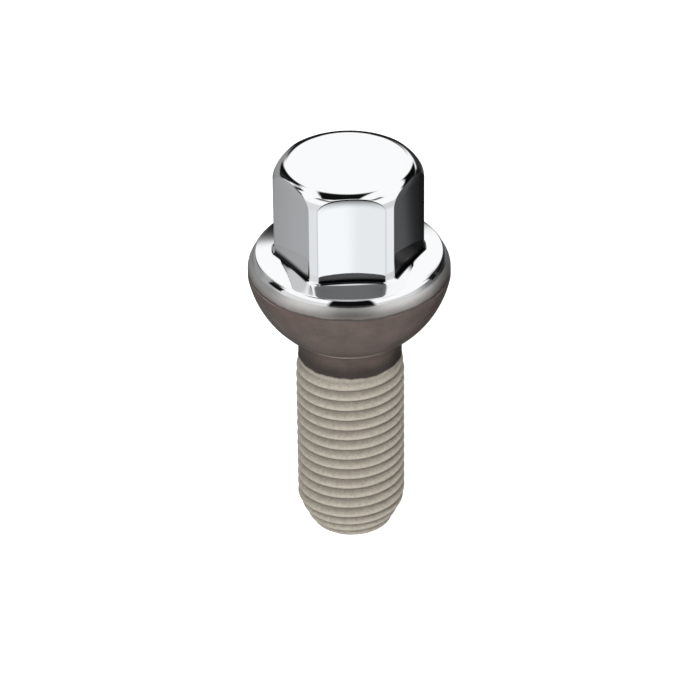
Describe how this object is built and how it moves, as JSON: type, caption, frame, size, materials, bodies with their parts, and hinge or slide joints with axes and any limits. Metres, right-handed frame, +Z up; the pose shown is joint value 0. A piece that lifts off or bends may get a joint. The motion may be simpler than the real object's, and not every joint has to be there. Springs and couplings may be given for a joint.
{
  "type": "wheel bolt",
  "caption": "One-piece wheel bolt with a plated hexagon head, a round flange, a fixed ball seat and a fine metric thread.",
  "frame": {"origin": "centre of the flat end of the thread, on which the bolt stands", "axes": "+Z up the bolt's axis, from the flat end of the thread to the top of the head; -Y is the outward normal of one of the head's flats"},
  "size_m": [0.0256, 0.0256, 0.0531],
  "materials": {
    "plated_steel": "bright chrome head and flange, brown-grey phosphated ball seat and neck, beige-grey coated thread"
  },
  "bodies": {
    "root": {"wheel_bolt": "plated_steel"}
  },
  "joints": []
}
